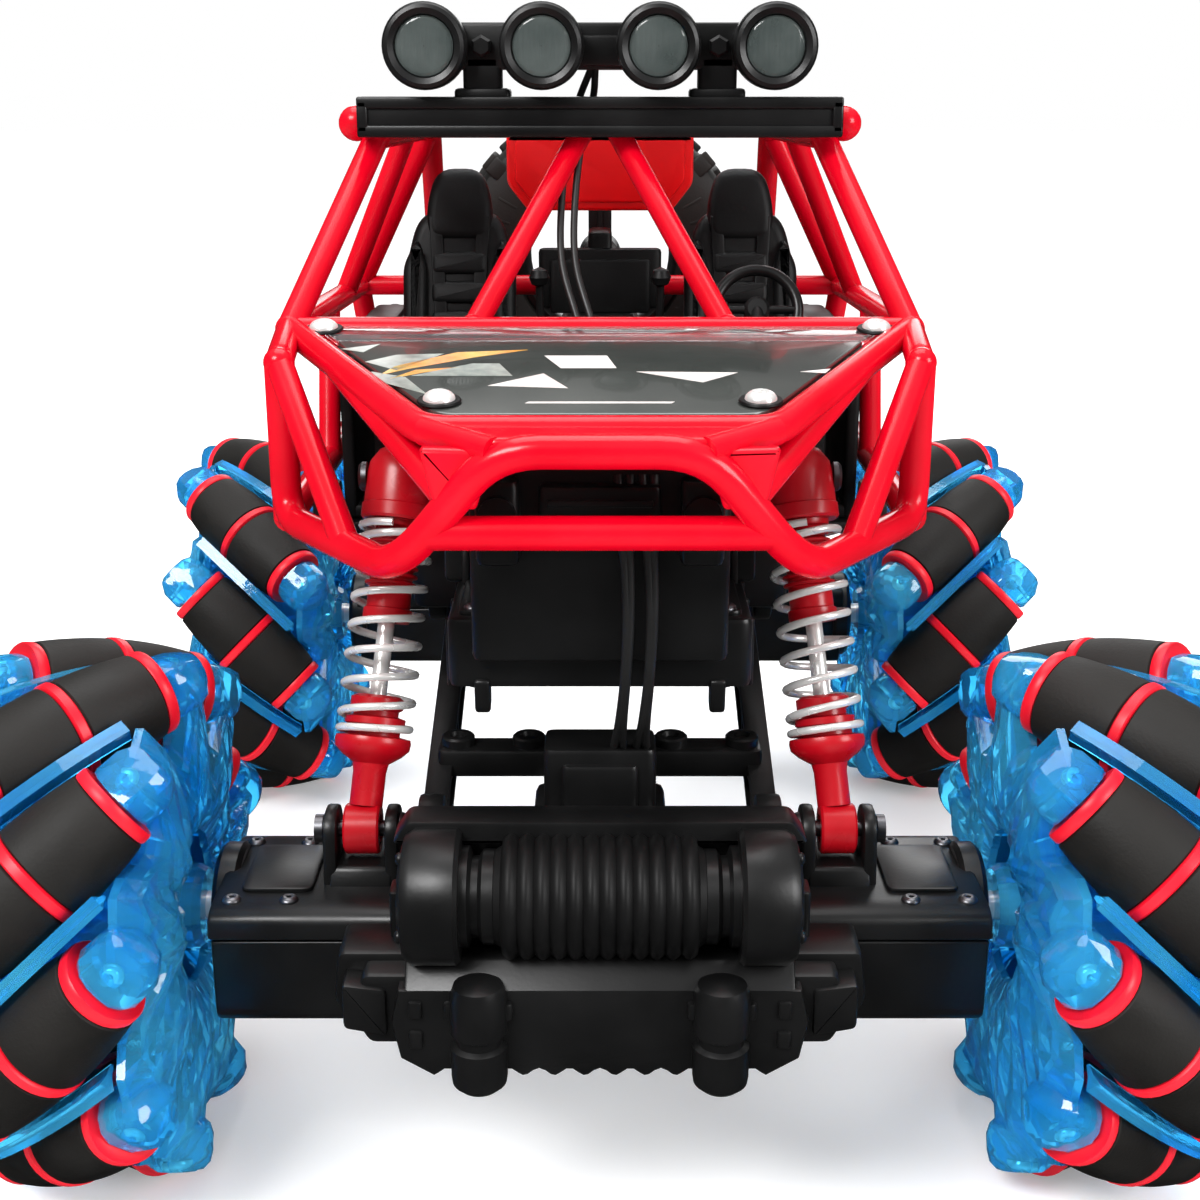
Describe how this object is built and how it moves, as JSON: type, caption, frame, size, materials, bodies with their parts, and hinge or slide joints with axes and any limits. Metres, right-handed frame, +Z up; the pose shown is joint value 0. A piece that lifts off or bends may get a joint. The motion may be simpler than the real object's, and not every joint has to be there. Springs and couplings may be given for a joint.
{
  "type": "rc stunt car",
  "caption": "Remote control stunt car with a tubular roll cage, sprung solid axles, and four omnidirectional wheels whose slanted rollers spin freely.",
  "frame": {"origin": "on the ground under the middle of the wheelbase", "axes": "-Y is the way the car's nose points, +X is on the right of someone who faces the nose, +Z is up"},
  "size_m": [0.2476, 0.3053, 0.2326],
  "materials": {
    "moulded_black": "fine-textured moulded ABS",
    "cage_red": "bright glossy red moulding",
    "clear_sheet": "clear sheet printed on its underside",
    "cell_wrap": "shrink-wrapped cells",
    "rubber_black": "soft matt rubber",
    "shock_red": "satin red moulding",
    "hub_blue": "translucent blue moulding with facets",
    "spring_steel": "bright drawn wire and screws",
    "roller_red": "red core of the rollers",
    "lamp_lens": "ribbed clear lens",
    "wire_skin": "thin black wire"
  },
  "bodies": {
    "chassis": {"chassis_tray": "moulded_black", "roll_cage": "cage_red", "hood_panel": "clear_sheet", "roof_panel": "clear_sheet", "light_bar": "moulded_black", "cockpit_tub": "moulded_black", "rear_bulkhead": "cage_red", "spare_wheel": "rubber_black", "battery_pack": "cell_wrap"},
    "front_axle": {"front_axle": "moulded_black", "winch_bumper": "moulded_black"},
    "rear_axle": {"rear_axle": "moulded_black"},
    "shock_sleeve_front_left": {"shock_sleeve_front_left": "shock_red"},
    "shock_rod_front_left": {"shock_rod_front_left": "shock_red"},
    "shock_sleeve_front_right": {"shock_sleeve_front_right": "shock_red"},
    "shock_rod_front_right": {"shock_rod_front_right": "shock_red"},
    "shock_sleeve_rear_left": {"shock_sleeve_rear_left": "shock_red"},
    "shock_rod_rear_left": {"shock_rod_rear_left": "shock_red"},
    "shock_sleeve_rear_right": {"shock_sleeve_rear_right": "shock_red"},
    "shock_rod_rear_right": {"shock_rod_rear_right": "shock_red"},
    "wheel_front_left": {"wheel_hub_front_left": "hub_blue"},
    "wheel_front_right": {"wheel_hub_front_right": "hub_blue"},
    "wheel_rear_left": {"wheel_hub_rear_left": "hub_blue"},
    "wheel_rear_right": {"wheel_hub_rear_right": "hub_blue"},
    "roller_front_left_1": {"roller_front_left_1": "rubber_black"},
    "roller_front_left_2": {"roller_front_left_2": "rubber_black"},
    "roller_front_left_3": {"roller_front_left_3": "rubber_black"},
    "roller_front_left_4": {"roller_front_left_4": "rubber_black"},
    "roller_front_left_5": {"roller_front_left_5": "rubber_black"},
    "roller_front_left_6": {"roller_front_left_6": "rubber_black"},
    "roller_front_left_7": {"roller_front_left_7": "rubber_black"},
    "roller_front_left_8": {"roller_front_left_8": "rubber_black"},
    "roller_front_left_9": {"roller_front_left_9": "rubber_black"},
    "roller_front_right_1": {"roller_front_right_1": "rubber_black"},
    "roller_front_right_2": {"roller_front_right_2": "rubber_black"},
    "roller_front_right_3": {"roller_front_right_3": "rubber_black"},
    "roller_front_right_4": {"roller_front_right_4": "rubber_black"},
    "roller_front_right_5": {"roller_front_right_5": "rubber_black"},
    "roller_front_right_6": {"roller_front_right_6": "rubber_black"},
    "roller_front_right_7": {"roller_front_right_7": "rubber_black"},
    "roller_front_right_8": {"roller_front_right_8": "rubber_black"},
    "roller_front_right_9": {"roller_front_right_9": "rubber_black"},
    "roller_rear_left_1": {"roller_rear_left_1": "rubber_black"},
    "roller_rear_left_2": {"roller_rear_left_2": "rubber_black"},
    "roller_rear_left_3": {"roller_rear_left_3": "rubber_black"},
    "roller_rear_left_4": {"roller_rear_left_4": "rubber_black"},
    "roller_rear_left_5": {"roller_rear_left_5": "rubber_black"},
    "roller_rear_left_6": {"roller_rear_left_6": "rubber_black"},
    "roller_rear_left_7": {"roller_rear_left_7": "rubber_black"},
    "roller_rear_left_8": {"roller_rear_left_8": "rubber_black"},
    "roller_rear_left_9": {"roller_rear_left_9": "rubber_black"},
    "roller_rear_right_1": {"roller_rear_right_1": "rubber_black"},
    "roller_rear_right_2": {"roller_rear_right_2": "rubber_black"},
    "roller_rear_right_3": {"roller_rear_right_3": "rubber_black"},
    "roller_rear_right_4": {"roller_rear_right_4": "rubber_black"},
    "roller_rear_right_5": {"roller_rear_right_5": "rubber_black"},
    "roller_rear_right_6": {"roller_rear_right_6": "rubber_black"},
    "roller_rear_right_7": {"roller_rear_right_7": "rubber_black"},
    "roller_rear_right_8": {"roller_rear_right_8": "rubber_black"},
    "roller_rear_right_9": {"roller_rear_right_9": "rubber_black"}
  },
  "joints": [
    {"name": "front_axle_swing", "type": "hinge", "parent": "chassis", "child": "front_axle", "pos_m": [0, -0.03, 0.1], "axis": [-1, 0, 0], "range_deg": [-7, 7], "stiffness_Nm_per_rad": 2.4, "springref_deg": -5.73},
    {"name": "rear_axle_swing", "type": "hinge", "parent": "chassis", "child": "rear_axle", "pos_m": [0, 0.03, 0.1], "axis": [1, 0, 0], "range_deg": [-7, 7], "stiffness_Nm_per_rad": 2.4, "springref_deg": -5.73},
    {"name": "shock_tilt_front_left", "type": "hinge", "parent": "chassis", "child": "shock_sleeve_front_left", "pos_m": [-0.04, -0.076, 0.14], "axis": [-1, 0, 0], "range_deg": [-5.5, 5.5]},
    {"name": "shock_slide_front_left", "type": "slide", "parent": "shock_sleeve_front_left", "child": "shock_rod_front_left", "axis": [0.0984, 0.3937, 0.914], "range_m": [-0.0073, 0.0073]},
    {"name": "shock_tilt_front_right", "type": "hinge", "parent": "chassis", "child": "shock_sleeve_front_right", "pos_m": [0.04, -0.076, 0.14], "axis": [-1, 0, 0], "range_deg": [-5.5, 5.5]},
    {"name": "shock_slide_front_right", "type": "slide", "parent": "shock_sleeve_front_right", "child": "shock_rod_front_right", "axis": [-0.0984, 0.3937, 0.914], "range_m": [-0.0073, 0.0073]},
    {"name": "shock_tilt_rear_left", "type": "hinge", "parent": "chassis", "child": "shock_sleeve_rear_left", "pos_m": [-0.04, 0.076, 0.14], "axis": [1, 0, 0], "range_deg": [-5.5, 5.5]},
    {"name": "shock_slide_rear_left", "type": "slide", "parent": "shock_sleeve_rear_left", "child": "shock_rod_rear_left", "axis": [0.0984, -0.3937, 0.914], "range_m": [-0.0073, 0.0073]},
    {"name": "shock_tilt_rear_right", "type": "hinge", "parent": "chassis", "child": "shock_sleeve_rear_right", "pos_m": [0.04, 0.076, 0.14], "axis": [1, 0, 0], "range_deg": [-5.5, 5.5]},
    {"name": "shock_slide_rear_right", "type": "slide", "parent": "shock_sleeve_rear_right", "child": "shock_rod_rear_right", "axis": [-0.0984, -0.3937, 0.914], "range_m": [-0.0073, 0.0073]},
    {"name": "wheel_spin_front_left", "type": "hinge", "parent": "front_axle", "child": "wheel_front_left", "pos_m": [-0.102, -0.098, 0.055], "axis": [1, 0, 0], "continuous": true},
    {"name": "wheel_spin_front_right", "type": "hinge", "parent": "front_axle", "child": "wheel_front_right", "pos_m": [0.102, -0.098, 0.055], "axis": [1, 0, 0], "continuous": true},
    {"name": "wheel_spin_rear_left", "type": "hinge", "parent": "rear_axle", "child": "wheel_rear_left", "pos_m": [-0.102, 0.098, 0.055], "axis": [1, 0, 0], "continuous": true},
    {"name": "wheel_spin_rear_right", "type": "hinge", "parent": "rear_axle", "child": "wheel_rear_right", "pos_m": [0.102, 0.098, 0.055], "axis": [1, 0, 0], "continuous": true},
    {"name": "roller_spin_front_left_1", "type": "hinge", "parent": "wheel_front_left", "child": "roller_front_left_1", "pos_m": [-0.102, -0.13502, 0.07951], "axis": [0.7071, 0.3903, 0.5896], "continuous": true},
    {"name": "roller_spin_front_left_2", "type": "hinge", "parent": "wheel_front_left", "child": "roller_front_left_2", "pos_m": [-0.102, -0.11061, 0.09757], "axis": [0.7071, 0.678, 0.2008], "continuous": true},
    {"name": "roller_spin_front_left_3", "type": "hinge", "parent": "wheel_front_left", "child": "roller_front_left_3", "pos_m": [-0.102, -0.0803, 0.09572], "axis": [0.7071, 0.6485, -0.282], "continuous": true},
    {"name": "roller_spin_front_left_4", "type": "hinge", "parent": "wheel_front_left", "child": "roller_front_left_4", "pos_m": [-0.102, -0.05826, 0.07481], "axis": [0.7071, 0.3155, -0.6328], "continuous": true},
    {"name": "roller_spin_front_left_5", "type": "hinge", "parent": "wheel_front_left", "child": "roller_front_left_5", "pos_m": [-0.102, -0.05483, 0.04464], "axis": [0.7071, -0.1651, -0.6876], "continuous": true},
    {"name": "roller_spin_front_left_6", "type": "hinge", "parent": "wheel_front_left", "child": "roller_front_left_6", "pos_m": [-0.102, -0.07159, 0.01931], "axis": [0.7071, -0.5684, -0.4206], "continuous": true},
    {"name": "roller_spin_front_left_7", "type": "hinge", "parent": "wheel_front_left", "child": "roller_front_left_7", "pos_m": [-0.102, -0.10071, 0.01068], "axis": [0.7071, -0.7058, 0.0432], "continuous": true},
    {"name": "roller_spin_front_left_8", "type": "hinge", "parent": "wheel_front_left", "child": "roller_front_left_8", "pos_m": [-0.102, -0.12856, 0.02279], "axis": [0.7071, -0.5129, 0.4867], "continuous": true},
    {"name": "roller_spin_front_left_9", "type": "hinge", "parent": "wheel_front_left", "child": "roller_front_left_9", "pos_m": [-0.102, -0.14211, 0.04997], "axis": [0.7071, -0.08, 0.7026], "continuous": true},
    {"name": "roller_spin_front_right_1", "type": "hinge", "parent": "wheel_front_right", "child": "roller_front_right_1", "pos_m": [0.102, -0.13502, 0.07951], "axis": [0.7071, -0.3903, -0.5896], "continuous": true},
    {"name": "roller_spin_front_right_2", "type": "hinge", "parent": "wheel_front_right", "child": "roller_front_right_2", "pos_m": [0.102, -0.11061, 0.09757], "axis": [0.7071, -0.678, -0.2008], "continuous": true},
    {"name": "roller_spin_front_right_3", "type": "hinge", "parent": "wheel_front_right", "child": "roller_front_right_3", "pos_m": [0.102, -0.0803, 0.09572], "axis": [0.7071, -0.6485, 0.282], "continuous": true},
    {"name": "roller_spin_front_right_4", "type": "hinge", "parent": "wheel_front_right", "child": "roller_front_right_4", "pos_m": [0.102, -0.05826, 0.07481], "axis": [0.7071, -0.3155, 0.6328], "continuous": true},
    {"name": "roller_spin_front_right_5", "type": "hinge", "parent": "wheel_front_right", "child": "roller_front_right_5", "pos_m": [0.102, -0.05483, 0.04464], "axis": [0.7071, 0.1651, 0.6876], "continuous": true},
    {"name": "roller_spin_front_right_6", "type": "hinge", "parent": "wheel_front_right", "child": "roller_front_right_6", "pos_m": [0.102, -0.07159, 0.01931], "axis": [0.7071, 0.5684, 0.4206], "continuous": true},
    {"name": "roller_spin_front_right_7", "type": "hinge", "parent": "wheel_front_right", "child": "roller_front_right_7", "pos_m": [0.102, -0.10071, 0.01068], "axis": [0.7071, 0.7058, -0.0432], "continuous": true},
    {"name": "roller_spin_front_right_8", "type": "hinge", "parent": "wheel_front_right", "child": "roller_front_right_8", "pos_m": [0.102, -0.12856, 0.02279], "axis": [0.7071, 0.5129, -0.4867], "continuous": true},
    {"name": "roller_spin_front_right_9", "type": "hinge", "parent": "wheel_front_right", "child": "roller_front_right_9", "pos_m": [0.102, -0.14211, 0.04997], "axis": [0.7071, 0.08, -0.7026], "continuous": true},
    {"name": "roller_spin_rear_left_1", "type": "hinge", "parent": "wheel_rear_left", "child": "roller_rear_left_1", "pos_m": [-0.102, 0.068, 0.08774], "axis": [0.7071, -0.5213, -0.4777], "continuous": true},
    {"name": "roller_spin_rear_left_2", "type": "hinge", "parent": "wheel_rear_left", "child": "roller_rear_left_2", "pos_m": [-0.102, 0.09606, 0.09936], "axis": [0.7071, -0.7064, -0.0308], "continuous": true},
    {"name": "roller_spin_rear_left_3", "type": "hinge", "parent": "wheel_rear_left", "child": "roller_rear_left_3", "pos_m": [-0.102, 0.12503, 0.09022], "axis": [0.7071, -0.561, 0.4305], "continuous": true},
    {"name": "roller_spin_rear_left_4", "type": "hinge", "parent": "wheel_rear_left", "child": "roller_rear_left_4", "pos_m": [-0.102, 0.14135, 0.06461], "axis": [0.7071, -0.153, 0.6903], "continuous": true},
    {"name": "roller_spin_rear_left_5", "type": "hinge", "parent": "wheel_rear_left", "child": "roller_rear_left_5", "pos_m": [-0.102, 0.13738, 0.0345], "axis": [0.7071, 0.3265, 0.6272], "continuous": true},
    {"name": "roller_spin_rear_left_6", "type": "hinge", "parent": "wheel_rear_left", "child": "roller_rear_left_6", "pos_m": [-0.102, 0.11499, 0.01398], "axis": [0.7071, 0.6533, 0.2706], "continuous": true},
    {"name": "roller_spin_rear_left_7", "type": "hinge", "parent": "wheel_rear_left", "child": "roller_rear_left_7", "pos_m": [-0.102, 0.08465, 0.01265], "axis": [0.7071, 0.6744, -0.2126], "continuous": true},
    {"name": "roller_spin_rear_left_8", "type": "hinge", "parent": "wheel_rear_left", "child": "roller_rear_left_8", "pos_m": [-0.102, 0.06055, 0.03114], "axis": [0.7071, 0.3799, -0.5964], "continuous": true},
    {"name": "roller_spin_rear_left_9", "type": "hinge", "parent": "wheel_rear_left", "child": "roller_rear_left_9", "pos_m": [-0.102, 0.05398, 0.0608], "axis": [0.7071, -0.0923, -0.7011], "continuous": true},
    {"name": "roller_spin_rear_right_1", "type": "hinge", "parent": "wheel_rear_right", "child": "roller_rear_right_1", "pos_m": [0.102, 0.068, 0.08774], "axis": [0.7071, 0.5213, 0.4777], "continuous": true},
    {"name": "roller_spin_rear_right_2", "type": "hinge", "parent": "wheel_rear_right", "child": "roller_rear_right_2", "pos_m": [0.102, 0.09606, 0.09936], "axis": [0.7071, 0.7064, 0.0308], "continuous": true},
    {"name": "roller_spin_rear_right_3", "type": "hinge", "parent": "wheel_rear_right", "child": "roller_rear_right_3", "pos_m": [0.102, 0.12503, 0.09022], "axis": [0.7071, 0.561, -0.4305], "continuous": true},
    {"name": "roller_spin_rear_right_4", "type": "hinge", "parent": "wheel_rear_right", "child": "roller_rear_right_4", "pos_m": [0.102, 0.14135, 0.06461], "axis": [0.7071, 0.153, -0.6903], "continuous": true},
    {"name": "roller_spin_rear_right_5", "type": "hinge", "parent": "wheel_rear_right", "child": "roller_rear_right_5", "pos_m": [0.102, 0.13738, 0.0345], "axis": [0.7071, -0.3265, -0.6272], "continuous": true},
    {"name": "roller_spin_rear_right_6", "type": "hinge", "parent": "wheel_rear_right", "child": "roller_rear_right_6", "pos_m": [0.102, 0.11499, 0.01398], "axis": [0.7071, -0.6533, -0.2706], "continuous": true},
    {"name": "roller_spin_rear_right_7", "type": "hinge", "parent": "wheel_rear_right", "child": "roller_rear_right_7", "pos_m": [0.102, 0.08465, 0.01265], "axis": [0.7071, -0.6744, 0.2126], "continuous": true},
    {"name": "roller_spin_rear_right_8", "type": "hinge", "parent": "wheel_rear_right", "child": "roller_rear_right_8", "pos_m": [0.102, 0.06055, 0.03114], "axis": [0.7071, -0.3799, 0.5964], "continuous": true},
    {"name": "roller_spin_rear_right_9", "type": "hinge", "parent": "wheel_rear_right", "child": "roller_rear_right_9", "pos_m": [0.102, 0.05398, 0.0608], "axis": [0.7071, 0.0923, 0.7011], "continuous": true}
  ],
  "couplings": [
    {"joint": "shock_tilt_front_left", "follows": "front_axle_swing", "ratio": 0.736},
    {"joint": "shock_slide_front_left", "follows": "front_axle_swing", "m_per_rad": 0.0586},
    {"joint": "shock_tilt_front_right", "follows": "front_axle_swing", "ratio": 0.736},
    {"joint": "shock_slide_front_right", "follows": "front_axle_swing", "m_per_rad": 0.0586},
    {"joint": "shock_tilt_rear_left", "follows": "rear_axle_swing", "ratio": 0.736},
    {"joint": "shock_slide_rear_left", "follows": "rear_axle_swing", "m_per_rad": 0.0586},
    {"joint": "shock_tilt_rear_right", "follows": "rear_axle_swing", "ratio": 0.736},
    {"joint": "shock_slide_rear_right", "follows": "rear_axle_swing", "m_per_rad": 0.0586}
  ]
}
